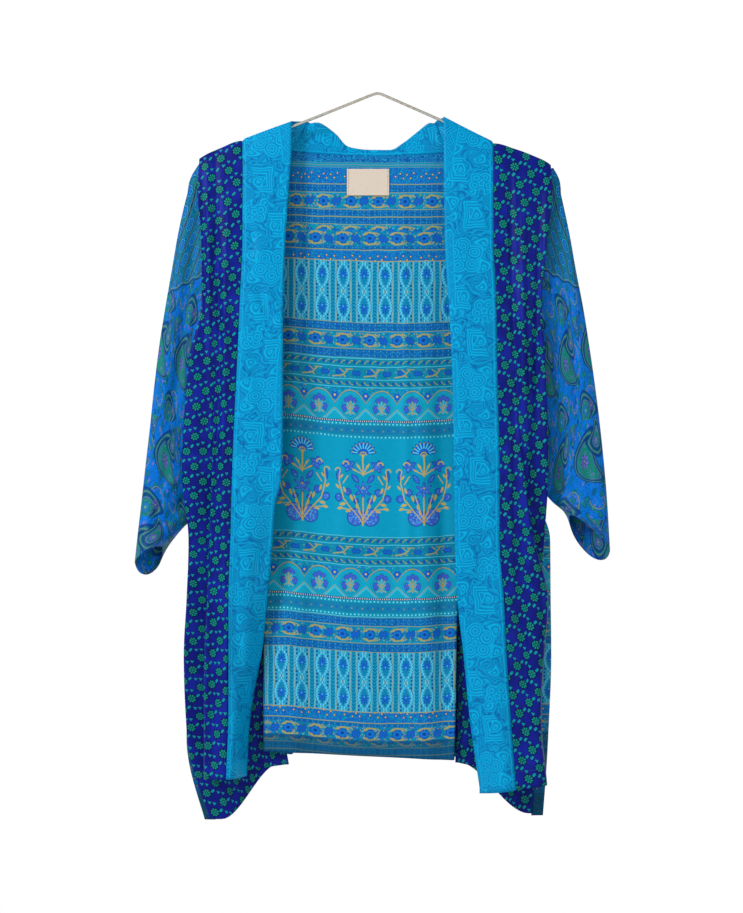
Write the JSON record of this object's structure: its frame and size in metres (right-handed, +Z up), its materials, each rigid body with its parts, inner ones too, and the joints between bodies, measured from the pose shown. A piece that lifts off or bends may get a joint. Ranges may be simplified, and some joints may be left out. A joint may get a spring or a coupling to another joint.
{
  "type": "short kimono on a wire hanger",
  "caption": "Short open silk kimono with a wide printed neckband, dark flowered fronts, a border-print back and paisley sleeves, hanging on a bent wire hanger",
  "frame": {"origin": "underside of the bend at the top of the hanger wire, where a nail or rail holds it", "axes": "+Z up; the front of the garment faces -Y; +X is to the right seen from the front, the wearer's left"},
  "size_m": [0.5727, 0.0698, 0.8796],
  "materials": {
    "dark_silk": "satin silk, ultramarine with small green rosettes",
    "teal_silk": "soft silk, teal with banded border print",
    "band_silk": "soft silk, tone-on-tone turquoise print",
    "sleeve_silk": "satin silk, azure with large paisleys",
    "label_cloth": "woven tape, bare",
    "wire_steel": "drawn wire, lightly polished"
  },
  "bodies": {
    "root": {"back_panel": "teal_silk", "front_panel_right": "dark_silk", "front_panel_left": "dark_silk", "sleeve_right": "sleeve_silk", "sleeve_left": "sleeve_silk", "neckband": "band_silk", "neck_label": "label_cloth", "hanger_wire": "wire_steel"}
  },
  "joints": []
}
